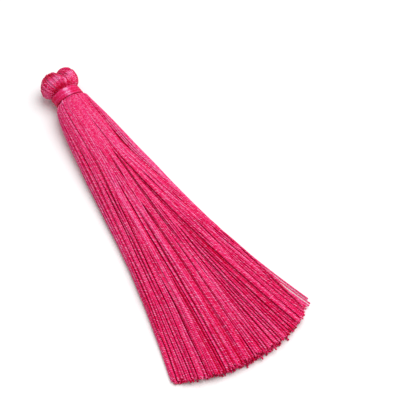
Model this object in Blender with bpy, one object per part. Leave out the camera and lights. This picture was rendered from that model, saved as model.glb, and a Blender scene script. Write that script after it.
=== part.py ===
# Silk tassel, opened out and lying on a flat surface.
# One hank of fine thread is folded in half: the fold is the head, with two lobes and a cleft between them,
# and the cut ends are the skirt, which fans out and rests on the surface.
# A band of thread is wound round the neck between the two.
# Lengths are in millimetres until they are turned to metres. The head points to +Y and the cut ends to -Y.

import math
import random
from collections import namedtuple

import bmesh
import bpy
from mathutils import Vector
from mathutils.geometry import delaunay_2d_cdt

MM = 0.001
SHARP_ANGLE = 35.0

# Neck binding: a wound oval band with its axis along Y, its middle at Y = 0 before the neck is set.
BAND_LENGTH = 3.8
BAND_HALF_HEIGHT = 4.6
BAND_EXTRA_WIDTH = 0.36
BAND_WALL = 0.9
BAND_TURNS = 7
BAND_TURN_RELIEF = 0.13
BAND_SIDES = 40
CLEARANCE = 0.33
CORE_STEP = 0.25
BAND_LIFT = 0.3
AXIS_HEIGHT = BAND_HALF_HEIGHT + BAND_LIFT

# Head: an oval bulb over the band, with a dimple at its top where the threads fold in.
HEAD_HALF_WIDTH = 6.9
HEAD_HALF_DEPTH_UP = 5.5
HEAD_HALF_DEPTH_DOWN = 5.4
BODY_SIDES = 36
CLEFT_ANGLE = 73.0
CLEFT_SPREAD = 15.0
CLEFT_DEPTH = 0.14
CLEFT_DROP = 1.0
SADDLE_SPREAD = 45.0
SADDLE_DROP = 1.9
HEAD_TILT = 0.2
HEAD_SHIFT = 0.55
BACK_CLEFT_SHARE = 0.6

HeadRing = namedtuple("HeadRing", "along bulge cleft")
HEAD_RINGS = (
    HeadRing(along=3.0, bulge=0.78, cleft=0.0),
    HeadRing(along=4.0, bulge=0.91, cleft=0.1),
    HeadRing(along=5.2, bulge=0.98, cleft=0.3),
    HeadRing(along=6.4, bulge=1.00, cleft=0.55),
    HeadRing(along=7.6, bulge=0.98, cleft=0.8),
    HeadRing(along=9.0, bulge=0.90, cleft=1.0),
    HeadRing(along=10.3, bulge=0.76, cleft=1.0),
    HeadRing(along=11.2, bulge=0.58, cleft=1.0),
    HeadRing(along=11.4, bulge=0.40, cleft=0.9),
    HeadRing(along=10.7, bulge=0.20, cleft=0.5),
)
DIMPLE_BOTTOM = 9.9

# The neck is set a little askew: turned, moved to the right of the skirt's middle line and towards the cut ends,
# and slanted, so that the band's top lies nearer the cut ends than its underside.
LEAN_ANGLE = -2.2
LEAN_SHIFT = 0.9
LEAN_DROP = 1.0
LEAN_FADES = 36.0
SLANT = 0.42
SLANT_HEAD_FADE = 7.0
SLANT_SKIRT_FADE = 22.0

# Collar: the shoulder of the hank just under the band, whose flat end carries the strands' roots.
COLLAR_RADIUS = 4.4
COLLAR_END = 2.8
COLLAR_HALF_WIDTH = 5.95
COLLAR_HALF_DEPTH = 4.6

# Skirt: each column of the neck has a number of rows, and three rows open out into three columns of one layer.
NECK_ROWS = (6, 6, 9, 9, 12, 12, 12, 15, 15, 15, 15, 15, 15, 15, 15, 15, 12, 12, 12, 9, 9, 6, 6)
FAN = 3
MOST_ROWS = max(NECK_ROWS)
TIP_COLUMNS = FAN * len(NECK_ROWS)

Station = namedtuple("Station", "along width depth rest fan strand_width strand_height")
STATIONS = (
    Station(along=COLLAR_END, width=11.0, depth=8.2, rest=0.0, fan=0.0, strand_width=0.32, strand_height=0.38),
    Station(along=15.0, width=16.3, depth=9.0, rest=0.6, fan=0.22, strand_width=0.34, strand_height=0.34),
    Station(along=37.0, width=21.2, depth=8.3, rest=1.0, fan=0.55, strand_width=0.33, strand_height=0.33),
    Station(along=64.0, width=28.0, depth=6.6, rest=1.0, fan=0.85, strand_width=0.29, strand_height=0.35),
    Station(along=91.0, width=37.8, depth=4.8, rest=1.0, fan=1.0, strand_width=0.38, strand_height=0.42),
    Station(along=112.0, width=49.4, depth=3.7, rest=1.0, fan=1.0, strand_width=0.50, strand_height=0.52),
)

# Partings between the skirt's ribbons, by place across the cut ends (-1 left edge, 1 right edge),
# the distance below the band where each opens, and its full width at the cut ends.
Parting = namedtuple("Parting", "place opens width")
PARTINGS = (
    Parting(place=-0.89, opens=30.0, width=0.45),
    Parting(place=-0.76, opens=20.0, width=0.50),
    Parting(place=-0.68, opens=40.0, width=0.35),
    Parting(place=-0.57, opens=60.0, width=0.40),
    Parting(place=-0.50, opens=12.0, width=0.60),
    Parting(place=-0.36, opens=30.0, width=0.50),
    Parting(place=-0.14, opens=18.0, width=0.45),
    Parting(place=-0.01, opens=60.0, width=0.40),
    Parting(place=0.27, opens=48.0, width=0.45),
    Parting(place=0.40, opens=24.0, width=0.50),
    Parting(place=0.52, opens=58.0, width=0.40),
    Parting(place=0.64, opens=34.0, width=0.60),
    Parting(place=0.73, opens=20.0, width=0.55),
    Parting(place=0.87, opens=50.0, width=0.45),
)
PARTING_RUN = 45.0
LOWEST_LAYER_PARTING = 0.4

# Cut ends: an arc across the fan, and a little unevenness from one strand to the next.
TIP_MIDDLE = 112.0
TIP_LEFT_RISE = 6.0
TIP_RIGHT_RISE = 7.0
TIP_UNEVENNESS = 0.5
CUT_SEED = 11


def smooth(value, low, high):
    """Ease from 0 at low to 1 at high."""
    share = min(1.0, max(0.0, (value - low) / (high - low)))
    return share * share * (3.0 - 2.0 * share)


def clear_scene():
    for item in list(bpy.data.objects):
        bpy.data.objects.remove(item, do_unlink=True)


def thread_material(name, colour, roughness):
    material = bpy.data.materials.new(name)
    material.use_nodes = True
    shader = material.node_tree.nodes["Principled BSDF"]
    shader.inputs["Base Color"].default_value = (*colour, 1.0)
    shader.inputs["Roughness"].default_value = roughness
    shader.inputs["Metallic"].default_value = 0.0
    return material


def add_object(name, mesh_data, material, parent):
    """Turn a finished bmesh into a named, smooth-shaded object."""
    bmesh.ops.recalc_face_normals(mesh_data, faces=mesh_data.faces)
    mesh = bpy.data.meshes.new(name)
    mesh_data.to_mesh(mesh)
    mesh_data.free()
    mesh.shade_smooth()
    mesh.set_sharp_from_angle(angle=math.radians(SHARP_ANGLE))
    mesh.materials.append(material)
    item = bpy.data.objects.new(name, mesh)
    bpy.context.collection.objects.link(item)
    item.parent = parent
    return item


def point(across, along, height):
    """A point in metres from millimetres across (+X), towards the head (+Y) and above the surface."""
    return Vector((across * MM, along * MM, height * MM))


def add_ring(mesh_data, points):
    return [mesh_data.verts.new(place) for place in points]


def bridge(mesh_data, first, second):
    """Join two rings of equal count with quads."""
    count = len(first)
    for index in range(count):
        after = (index + 1) % count
        mesh_data.faces.new((first[index], first[after], second[after], second[index]))


def ring_angles(sides):
    return [math.tau * index / sides for index in range(sides)]


# Head and neck


def cleft_share(angle, spread):
    """How far the cleft reaches in at an angle round the axis: deep in front, shallower behind."""
    share = 0.0
    for centre, weight in ((CLEFT_ANGLE, 1.0), (CLEFT_ANGLE + 180.0, BACK_CLEFT_SHARE)):
        away = (math.degrees(angle) - centre + 180.0) % 360.0 - 180.0
        share += weight * math.exp(-(away / spread) ** 2)
    return share


def head_radius(angle):
    """The bulb's full radius at an angle round the axis, an oval that is flatter above than below."""
    half_depth = HEAD_HALF_DEPTH_UP if math.sin(angle) > 0.0 else HEAD_HALF_DEPTH_DOWN
    return 1.0 / math.hypot(math.cos(angle) / HEAD_HALF_WIDTH, math.sin(angle) / half_depth)


def head_ring(ring):
    """One ring of the bulb, pulled in at the cleft and pressed flat where it lies on the surface."""
    points = []
    for angle in ring_angles(BODY_SIDES):
        cleft = cleft_share(angle, CLEFT_SPREAD) * ring.cleft
        saddle = cleft_share(angle, SADDLE_SPREAD) * ring.cleft
        radius = head_radius(angle) * ring.bulge * (1.0 - CLEFT_DEPTH * cleft)
        height = max(0.0, AXIS_HEIGHT + radius * math.sin(angle))
        across = radius * math.cos(angle)
        reach = smooth(ring.along, BAND_LENGTH / 2.0, HEAD_RINGS[3].along)
        along = ring.along + HEAD_TILT * across * reach - CLEFT_DROP * cleft - SADDLE_DROP * saddle
        points.append(point(across + HEAD_SHIFT * reach, along, height))
    return points


def oval_ring(along, half_width, half_depth):
    points = []
    for angle in ring_angles(BODY_SIDES):
        height = AXIS_HEIGHT + half_depth * math.sin(angle)
        points.append(point(half_width * math.cos(angle), along, height))
    return points


def neck_ring(along, half_depth):
    return oval_ring(along, half_depth + BAND_EXTRA_WIDTH, half_depth)


def body_rings():
    """All rings of the hank's body, from the dimple's rim to the collar's flat end."""
    band_end = BAND_LENGTH / 2.0 + CLEARANCE
    core = BAND_HALF_HEIGHT - BAND_WALL - CLEARANCE
    rings = [head_ring(ring) for ring in reversed(HEAD_RINGS)]
    rings.append(neck_ring(band_end, core + CORE_STEP))
    rings.append(neck_ring(band_end - CORE_STEP, core))
    rings.append(neck_ring(CORE_STEP - band_end, core))
    rings.append(neck_ring(-band_end, COLLAR_RADIUS))
    rings.append(oval_ring(-COLLAR_END, COLLAR_HALF_WIDTH, COLLAR_HALF_DEPTH))
    return rings


# Skirt


def parting_widths(along, share):
    """Each parting's width at a distance below the band, with the column that it lies before."""
    widths = []
    for parting in PARTINGS:
        column = round((parting.place + 1.0) / 2.0 * TIP_COLUMNS)
        widths.append((column, share * parting.width * smooth(along, parting.opens, parting.opens + PARTING_RUN)))
    return widths


def across_skirt(column, station, share):
    """Place across the skirt of a column, which may be a fraction, with the partings opened by their share."""
    widths = parting_widths(station.along, share)
    open_width = sum(width for _, width in widths)
    pitch = (station.width - open_width) / TIP_COLUMNS
    before = sum(width for place, width in widths if place <= column)
    return (column + 0.5) * pitch + before - station.width / 2.0


def tip_distance(place):
    """How far below the band the skirt is cut at a place across it."""
    rise = TIP_LEFT_RISE if place < 0.0 else TIP_RIGHT_RISE
    return TIP_MIDDLE - rise * place * place


def station_between(first, second, along):
    """The skirt's sizes at a distance below the band, on the straight line through two stations."""
    share = (along - first.along) / (second.along - first.along)
    return Station(*(low + (high - low) * share for low, high in zip(first, second)))


def strand_sections(neck_column, row, cut):
    """The strand's triangular sections from its root to its cut end, base down so that it can rest level."""
    layer, step = divmod(row, FAN)
    rows = NECK_ROWS[neck_column]
    layers = rows // FAN
    middle = FAN * neck_column + 1
    outward = 1.0 if 2 * neck_column + 1 >= len(NECK_ROWS) else -1.0
    turn = outward * (step - 1)
    tip_column = middle + turn
    share = LOWEST_LAYER_PARTING + (1.0 - LOWEST_LAYER_PARTING) * layer / max(1, layers - 1)
    end = tip_distance(2.0 * tip_column / (TIP_COLUMNS - 1) - 1.0) + cut
    sections = []
    for station in (*STATIONS[:-1], station_between(*STATIONS[-2:], end)):
        angle = station.fan * math.pi / 2.0
        across = across_skirt(middle + turn * math.sin(angle), station, share)
        pitch = station.depth / MOST_ROWS
        underside = (1.0 - station.rest) * (AXIS_HEIGHT - pitch * rows / 2.0)
        base = underside + pitch * (FAN * layer + step * math.cos(angle))
        half = station.strand_width / 2.0
        sections.append((
            point(across - half, -station.along, base),
            point(across + half, -station.along, base),
            point(across, -station.along, base + station.strand_height),
        ))
    return sections


def add_root_face(mesh_data, rim, roots):
    """Fill the collar's flat end between its rim and the strands' roots, which stay open for the strands."""
    verts = list(rim)
    edges = [(index, (index + 1) % len(rim)) for index in range(len(rim))]
    for root in roots:
        first = len(verts)
        verts.extend(root)
        edges.extend(((first, first + 1), (first + 1, first + 2), (first + 2, first)))
    flat = [Vector((vert.co.x / MM, vert.co.z / MM)) for vert in verts]
    triangles = delaunay_2d_cdt(flat, edges, [list(range(len(rim)))], 1, 1e-6)[2]
    for triangle in triangles:
        owners = {None if index < len(rim) else (index - len(rim)) // 3 for index in triangle}
        if len(owners) > 1 or None in owners:
            mesh_data.faces.new([verts[index] for index in triangle])


def build_hank(material, parent):
    mesh_data = bmesh.new()
    rings = [add_ring(mesh_data, points) for points in body_rings()]
    for first, second in zip(rings, rings[1:]):
        bridge(mesh_data, first, second)
    dimple = mesh_data.verts.new(point(HEAD_SHIFT, DIMPLE_BOTTOM - SADDLE_DROP / 2.0, AXIS_HEIGHT))
    for index in range(BODY_SIDES):
        mesh_data.faces.new((dimple, rings[0][index], rings[0][(index + 1) % BODY_SIDES]))

    chance = random.Random(CUT_SEED)
    roots = []
    for neck_column, rows in enumerate(NECK_ROWS):
        for row in range(rows):
            cut = chance.uniform(-TIP_UNEVENNESS, TIP_UNEVENNESS)
            loops = [add_ring(mesh_data, section) for section in strand_sections(neck_column, row, cut)]
            for first, second in zip(loops, loops[1:]):
                bridge(mesh_data, first, second)
            mesh_data.faces.new(loops[-1])
            roots.append(loops[0])
    add_root_face(mesh_data, rings[-1], roots)
    return add_object("thread_hank", mesh_data, material, parent)


# Binding


def band_profile():
    """Half-round turns along the band's outside, as (along, half height) pairs, then its plain bore."""
    turn = BAND_LENGTH / BAND_TURNS
    profile = []
    for index in range(BAND_TURNS):
        start = index * turn - BAND_LENGTH / 2.0
        profile.append((start, BAND_HALF_HEIGHT - BAND_TURN_RELIEF))
        profile.append((start + turn / 2.0, BAND_HALF_HEIGHT))
    profile.append((BAND_LENGTH / 2.0, BAND_HALF_HEIGHT - BAND_TURN_RELIEF))
    profile.append((BAND_LENGTH / 2.0, BAND_HALF_HEIGHT - BAND_WALL))
    profile.append((-BAND_LENGTH / 2.0, BAND_HALF_HEIGHT - BAND_WALL))
    return profile


def build_binding(material, parent):
    mesh_data = bmesh.new()
    rings = []
    for along, half_depth in band_profile():
        points = []
        for angle in ring_angles(BAND_SIDES):
            across = (half_depth + BAND_EXTRA_WIDTH) * math.cos(angle)
            points.append(point(across, along, AXIS_HEIGHT + half_depth * math.sin(angle)))
        rings.append(add_ring(mesh_data, points))
    for first, second in zip(rings, rings[1:] + rings[:1]):
        bridge(mesh_data, first, second)
    return add_object("neck_binding", mesh_data, material, parent)


def centre_on_origin(holder, items):
    """Move the holder so that the origin is at the middle of the tassel's footprint, on the surface."""
    corners = [vert.co for item in items for vert in item.data.vertices]
    across = [corner.x for corner in corners]
    along = [corner.y for corner in corners]
    height = [corner.z for corner in corners]
    holder.location = (-(min(across) + max(across)) / 2.0, -(min(along) + max(along)) / 2.0, -min(height))


def slant_share(along):
    """How much of the neck's slant is left at a distance towards the head, or towards the cut ends below 0."""
    if along > 0.0:
        head_base = BAND_LENGTH / 2.0 + CLEARANCE
        return 1.0 - smooth(along, head_base, head_base + SLANT_HEAD_FADE)
    return 1.0 - smooth(-along, COLLAR_END, COLLAR_END + SLANT_SKIRT_FADE)


def set_neck(item):
    """Slant the head and neck, then turn and move them about the band's middle, fading out down the skirt."""
    for vert in item.data.vertices:
        across, along, height = vert.co / MM
        share = 1.0 - smooth(-along, COLLAR_END, LEAN_FADES)
        angle = math.radians(LEAN_ANGLE) * share
        slanted = along - SLANT * (height - AXIS_HEIGHT) * slant_share(along)
        turned_across = across * math.cos(angle) + max(along, -COLLAR_END) * math.sin(angle) + LEAN_SHIFT * share
        turned_along = slanted * math.cos(angle) - across * math.sin(angle) - LEAN_DROP * share
        vert.co = point(turned_across, turned_along, height)


def build_tassel():
    clear_scene()
    holder = bpy.data.objects.new("tassel", None)
    bpy.context.collection.objects.link(holder)
    hank = build_hank(thread_material("rayon_thread", (0.85, 0.03, 0.15), 0.42), holder)
    binding = build_binding(thread_material("binding_thread", (0.80, 0.025, 0.14), 0.38), holder)
    for item in (hank, binding):
        set_neck(item)
    centre_on_origin(holder, (hank, binding))
    bpy.context.view_layer.update()


build_tassel()
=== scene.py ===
import math

import bmesh
import bpy
import numpy as np
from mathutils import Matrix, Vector


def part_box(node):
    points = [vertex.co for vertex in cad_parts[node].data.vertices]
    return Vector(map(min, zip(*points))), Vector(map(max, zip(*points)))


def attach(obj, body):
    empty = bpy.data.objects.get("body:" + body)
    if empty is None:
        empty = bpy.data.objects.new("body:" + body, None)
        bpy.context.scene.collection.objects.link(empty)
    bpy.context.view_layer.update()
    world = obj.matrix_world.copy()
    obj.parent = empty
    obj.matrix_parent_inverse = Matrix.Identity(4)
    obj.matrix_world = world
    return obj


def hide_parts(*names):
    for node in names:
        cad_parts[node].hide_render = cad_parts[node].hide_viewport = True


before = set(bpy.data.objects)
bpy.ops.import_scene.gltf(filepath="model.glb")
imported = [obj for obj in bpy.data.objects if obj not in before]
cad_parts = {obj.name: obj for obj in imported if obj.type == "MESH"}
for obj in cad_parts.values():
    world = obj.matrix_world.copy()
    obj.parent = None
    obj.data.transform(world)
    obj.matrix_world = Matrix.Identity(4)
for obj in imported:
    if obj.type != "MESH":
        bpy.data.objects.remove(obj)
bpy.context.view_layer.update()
print("frame loaded")

# Lengths below are in millimetres until toWorld turns them to metres.
mm = 0.001

# The neck is set askew, as the solids are: slanted, then turned and moved, fading out down the skirt.
neckValues = {
    "angle": -2.2,
    "shift": 0.9,
    "drop": 1.0,
    "starts": 2.8,
    "fades": 36.0,
    "slant": 0.42,
    "headStarts": 2.23,
    "headFade": 7.0,
    "skirtFade": 22.0,
    "widerThanHigh": 0.36,
}

bandLow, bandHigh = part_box("neck_binding")
bandMiddle = (bandLow + bandHigh) / 2.0 / mm
bandHalfHeight = (bandHigh.z - bandLow.z) / 2.0 / mm
bandHalfWidth = bandHalfHeight + neckValues["widerThanHigh"]
axisHeight = bandMiddle.z
skirtOrigin = Vector((bandMiddle.x - neckValues["shift"], bandMiddle.y + neckValues["drop"], 0.0))


def smooth(value, low, high):
    share = np.clip((value - low) / (high - low), 0.0, 1.0)
    return share * share * (3.0 - 2.0 * share)


def between(value, opens, opened, closes, closed):
    # rises from 0 to 1, stays, and falls back to 0
    return smooth(value, opens, opened) * (1.0 - smooth(value, closes, closed))


def degreesFrom(angle, centre):
    # how far an angle in radians lies from a direction in degrees
    return (np.degrees(angle) - centre + 180.0) % 360.0 - 180.0


def toWorld(across, along, height):
    # along runs from the band's middle towards the cut ends
    values = neckValues
    share = 1.0 - smooth(along, values["starts"], values["fades"])
    headSlant = 1.0 - smooth(-along, values["headStarts"], values["headStarts"] + values["headFade"])
    skirtSlant = 1.0 - smooth(along, values["starts"], values["starts"] + values["skirtFade"])
    slant = values["slant"] * (height - axisHeight) * np.minimum(headSlant, skirtSlant)
    angle = math.radians(values["angle"]) * share
    back = np.maximum(-along, -values["starts"])
    x = across * np.cos(angle) + back * np.sin(angle) + values["shift"] * share
    y = (-along - slant) * np.cos(angle) - across * np.sin(angle) - values["drop"] * share
    x = x + skirtOrigin.x
    y = y + skirtOrigin.y
    return np.stack(np.broadcast_arrays(x, y, height), axis=-1) * mm


def columnOf(rows, column):
    return np.array([row[column] for row in rows], float)


def throughRows(rows, column, at):
    # a smooth curve through one column of a table, against its first column
    x = columnOf(rows, 0)
    y = columnOf(rows, column)
    slope = np.empty_like(y)
    slope[1:-1] = (y[2:] - y[:-2]) / (x[2:] - x[:-2])
    slope[0] = (y[1] - y[0]) / (x[1] - x[0])
    slope[-1] = (y[-1] - y[-2]) / (x[-1] - x[-2])
    at = np.asarray(at, float)
    index = np.clip(np.searchsorted(x, at) - 1, 0, len(x) - 2)
    span = x[index + 1] - x[index]
    t = np.clip((at - x[index]) / span, 0.0, 1.0)
    low = (2 * t**3 - 3 * t**2 + 1) * y[index] + (t**3 - 2 * t**2 + t) * span * slope[index]
    high = (3 * t**2 - 2 * t**3) * y[index + 1] + (t**3 - t**2) * span * slope[index + 1]
    return low + high


def linear(hexColour):
    channels = [int(hexColour[i:i + 2], 16) / 255.0 for i in (0, 2, 4)]
    return tuple(c / 12.92 if c <= 0.04045 else ((c + 0.055) / 1.055) ** 2.4 for c in channels) + (1.0,)


def addNode(tree, kind, settings=None, inputs=None):
    node = tree.nodes.new(kind)
    for name, value in (settings or {}).items():
        setattr(node, name, value)
    for name, value in (inputs or {}).items():
        if isinstance(value, bpy.types.NodeSocket):
            tree.links.new(value, node.inputs[name])
        else:
            node.inputs[name].default_value = value
    return node


def addMath(tree, operation, *inputs):
    return addNode(tree, "ShaderNodeMath", {"operation": operation}, dict(enumerate(inputs))).outputs[0]


def addAttribute(tree, name, output="Fac"):
    return addNode(tree, "ShaderNodeAttribute", {"attribute_name": name}).outputs[output]


def addPiece(name, data):
    piece = bpy.data.objects.new(name, data)
    bpy.context.scene.collection.objects.link(piece)
    return piece


# The colours run from painted shade, dark in the groove between two plies and down in the gaps, to the palest
# painted glint on a crown.
threadValues = {
    "diameter": 0.50,
    "sides": 8,
    "twistStarts": (0.0, 5.0),
    "strandStep": 0.37,
    "ridge": 0.55,
    "deep": "B20020",
    "body": "DE0C4E",
    "bodyFrom": 0.34,
    "bright": "E53E86",
    "brightFrom": 0.62,
    "shine": "E87AB0",
    "shineFrom": 0.84,
    "pale": "F0B4D2",
    "roughness": 0.50,
    "refraction": 1.52,
    "specular": 0.02,
    "bump": 0.5,
    "bumpDepth": 0.06,
    "base": 0.15,
    "glint": 0.74,
    "faintest": 0.2,
    "peak": 2.2,
    "rare": 0.9,
    "fuzz": 0.34,
    "fuzzScale": 2600.0,
    "fuzzDetail": 2.0,
    "fuzzRoughness": 0.6,
    "tintShare": 0.22,
}


# Twisted rayon: a saturated dye with its silky lustre painted in, each ply's crown catching a painted glint of its
# own strength.
def rayonThread(name, values):
    material = bpy.data.materials.new(name)
    material.use_nodes = True
    tree = material.node_tree
    shader = tree.nodes["Principled BSDF"]
    # two plies wind round the thread: 1 on a crown, 0 in the groove between
    axes = addNode(tree, "ShaderNodeSeparateXYZ", None, {0: addAttribute(tree, "around", "Vector")})
    turn = addMath(tree, "ARCTAN2", axes.outputs[1], axes.outputs[0])
    plies = addMath(tree, "DIVIDE", turn, math.pi)
    cycles = addMath(tree, "MULTIPLY_ADD", addAttribute(tree, "along"), 1.0 / values["ridge"], plies)
    ply = addMath(tree, "COSINE", addMath(tree, "MULTIPLY", cycles, math.tau))
    crown = addMath(tree, "MULTIPLY_ADD", ply, 0.5, 0.5)
    peak = addMath(tree, "POWER", crown, values["peak"])
    # each crown's own amount of painted glint
    cell = addNode(tree, "ShaderNodeCombineXYZ", None,
                   {0: addMath(tree, "ROUND", cycles), 1: addAttribute(tree, "strand")})
    draw = addNode(tree, "ShaderNodeTexWhiteNoise", {"noise_dimensions": "2D"}, {"Vector": cell.outputs[0]})
    rare = addMath(tree, "POWER", draw.outputs["Value"], values["rare"])
    glint = addMath(tree, "MULTIPLY_ADD", rare, 1.0 - values["faintest"], values["faintest"])
    shine = addMath(tree, "MULTIPLY", peak, glint)
    place = addNode(tree, "ShaderNodeTexCoord").outputs["Object"]
    fuzz = addNode(tree, "ShaderNodeTexNoise", None,
                   {"Vector": place, "Scale": values["fuzzScale"], "Detail": values["fuzzDetail"],
                    "Roughness": values["fuzzRoughness"]})
    glintLevel = addMath(tree, "MULTIPLY_ADD", shine, values["glint"], values["base"])
    grown = addMath(tree, "MULTIPLY_ADD", fuzz.outputs["Fac"], values["fuzz"], glintLevel)
    # the tint attribute adds each thread's random tone and its painted shade or painted highlight
    mixed = addMath(tree, "MULTIPLY_ADD", addAttribute(tree, "tint"), values["tintShare"], grown)
    ramp = addNode(tree, "ShaderNodeValToRGB", None, {"Fac": mixed})
    stops = ramp.color_ramp.elements
    stops[0].color = linear(values["deep"])
    stops[1].color = linear(values["pale"])
    for colour in ("body", "bright", "shine"):
        stop = stops.new(values[colour + "From"])
        stop.color = linear(values[colour])
    tree.links.new(ramp.outputs["Color"], shader.inputs["Base Color"])
    bump = addNode(tree, "ShaderNodeBump", None,
                   {"Height": crown, "Strength": values["bump"], "Distance": values["bumpDepth"] * mm})
    tree.links.new(bump.outputs["Normal"], shader.inputs["Normal"])
    shader.inputs["Roughness"].default_value = values["roughness"]
    shader.inputs["IOR"].default_value = values["refraction"]
    shader.inputs["Specular IOR Level"].default_value = values["specular"]
    return material


skirtMaterial = rayonThread("rayonSkirtThread", threadValues)

# Rayon pulled tight over the fold: longer painted glints, brighter and fewer, on a darker ground.
headThreadValues = {
    **threadValues,
    "ridge": 0.7,
    "specular": 0.04,
    "base": 0.035,
    "glint": 0.95,
    "peak": 1.7,
    "rare": 1.3,
}
headMaterial = rayonThread("rayonHeadThread", headThreadValues)

# Rayon wound tight: short, faint painted glints that run together to a painted satin sheen.
bindingThreadValues = {
    **threadValues,
    "ridge": 0.5,
    "specular": 0.06,
    "base": 0.145,
    "glint": 0.5,
    "peak": 1.7,
    "rare": 1.3,
}
bandMaterial = rayonThread("rayonBindingThread", bindingThreadValues)
print("materials made")


# Threads: a mesh of guide lines goes through one tree that makes each line a round thread with closed ends.
def threadTree():
    tree = bpy.data.node_groups.new("threadTubes", "GeometryNodeTree")
    sockets = (("Geometry", "INPUT", "Geometry"), ("Diameter", "INPUT", "Float"), ("Sides", "INPUT", "Int"),
               ("Material", "INPUT", "Material"), ("Geometry", "OUTPUT", "Geometry"))
    for name, way, kind in sockets:
        tree.interface.new_socket(name, in_out=way, socket_type="NodeSocket" + kind)
    start = addNode(tree, "NodeGroupInput")
    line = addNode(tree, "GeometryNodeMeshToCurve", None, {"Mesh": start.outputs["Geometry"]})
    circle = addNode(tree, "GeometryNodeCurvePrimitiveCircle", None,
                     {"Resolution": start.outputs["Sides"],
                      "Radius": addMath(tree, "MULTIPLY", start.outputs["Diameter"], 0.5)})
    spot = addNode(tree, "GeometryNodeInputPosition")
    unit = addNode(tree, "ShaderNodeVectorMath", {"operation": "NORMALIZE"}, {0: spot.outputs[0]})
    rim = addNode(tree, "GeometryNodeStoreNamedAttribute", {"data_type": "FLOAT_VECTOR", "domain": "POINT"},
                  {"Geometry": circle.outputs["Curve"], "Name": "around", "Value": unit.outputs[0]})
    tube = addNode(tree, "GeometryNodeCurveToMesh", None,
                   {"Curve": line.outputs["Curve"], "Profile Curve": rim.outputs["Geometry"],
                    "Fill Caps": True})
    shade = addNode(tree, "GeometryNodeSetShadeSmooth", None, {"Geometry": tube.outputs["Mesh"]})
    real = addNode(tree, "GeometryNodeRealizeInstances", None, {"Geometry": shade.outputs["Geometry"]})
    paint = addNode(tree, "GeometryNodeSetMaterial", None,
                    {"Geometry": real.outputs["Geometry"], "Material": start.outputs["Material"]})
    addNode(tree, "NodeGroupOutput", None, {"Geometry": paint.outputs["Geometry"]})
    return tree


tubeTree = threadTree()


def makeThreads(name, lines, material, diameter=threadValues["diameter"], sides=threadValues["sides"]):
    # lines: a list of (points in metres, distance along in mm, tint)
    points = np.concatenate([line[0] for line in lines])
    along = np.concatenate([line[1] for line in lines])
    tint = np.concatenate([np.full(len(line[0]), line[2]) for line in lines])
    strand = np.concatenate([np.full(len(line[0]), threadValues["strandStep"] * index)
                             for index, line in enumerate(lines)])
    edges = []
    first = 0
    for line in lines:
        steps = np.arange(first, first + len(line[0]) - 1)
        edges.append(np.stack((steps, steps + 1), axis=1))
        first += len(line[0])
    edges = np.concatenate(edges)
    guide = bpy.data.meshes.new(name + "Guide")
    guide.vertices.add(len(points))
    guide.vertices.foreach_set("co", points.astype(np.float32).ravel())
    guide.edges.add(len(edges))
    guide.edges.foreach_set("vertices", edges.astype(np.int32).ravel())
    for key, data in (("along", along), ("tint", tint), ("strand", strand)):
        guide.attributes.new(key, "FLOAT", "POINT").data.foreach_set("value", data.astype(np.float32))
    guide.update()
    holder = addPiece(name + "Guide", guide)
    modifier = holder.modifiers.new("tubes", "NODES")
    modifier.node_group = tubeTree
    values = {"Diameter": diameter * mm, "Sides": sides, "Material": material}
    for item in tubeTree.interface.items_tree:
        if item.item_type == "SOCKET" and item.in_out == "INPUT" and item.name in values:
            modifier[item.identifier] = values[item.name]
    bpy.context.view_layer.update()
    depsgraph = bpy.context.evaluated_depsgraph_get()
    mesh = bpy.data.meshes.new_from_object(holder.evaluated_get(depsgraph), depsgraph=depsgraph)
    mesh.name = name
    bpy.data.objects.remove(holder)
    bpy.data.meshes.remove(guide)
    piece = addPiece(name, mesh)
    mesh.calc_loop_triangles()
    print(name, len(lines), "threads", len(mesh.loop_triangles), "triangles")
    return piece


# Skirt sections: distance below the band's middle, half width, height of the widest line, top, underside,
# how far the outline turns under its widest line in degrees, and the middle's shift across.
skirtSections = (
    (0.0, 3.80, 4.90, 8.40, 1.40, 50.0, 0.0),
    (1.7, 3.90, 4.90, 8.55, 1.30, 50.0, 0.0),
    (2.2, 4.45, 4.90, 9.00, 0.85, 50.0, 0.05),
    (2.9, 5.40, 4.90, 9.48, 0.45, 50.0, 0.0),
    (4.6, 6.05, 4.75, 9.70, 0.25, 50.0, -0.25),
    (7.0, 6.60, 4.50, 9.75, 0.17, 48.0, -0.40),
    (10.0, 7.15, 4.15, 9.65, 0.15, 46.0, -0.42),
    (15.0, 8.00, 3.60, 9.35, 0.15, 44.0, -0.30),
    (25.0, 9.35, 2.70, 8.75, 0.15, 40.0, 0.10),
    (38.0, 10.95, 1.90, 8.00, 0.15, 34.0, 0.30),
    (50.0, 12.35, 1.50, 7.30, 0.15, 28.0, 0.20),
    (64.0, 14.15, 1.20, 6.50, 0.15, 22.0, 0.05),
    (80.0, 16.85, 0.90, 5.50, 0.15, 14.0, -0.10),
    (91.0, 19.15, 0.75, 4.80, 0.15, 10.0, -0.15),
    (100.0, 21.35, 0.62, 4.30, 0.15, 8.0, -0.10),
    (106.0, 22.95, 0.55, 4.00, 0.15, 6.0, 0.0),
    (114.0, 25.20, 0.50, 3.60, 0.15, 5.0, 0.0),
)

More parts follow.
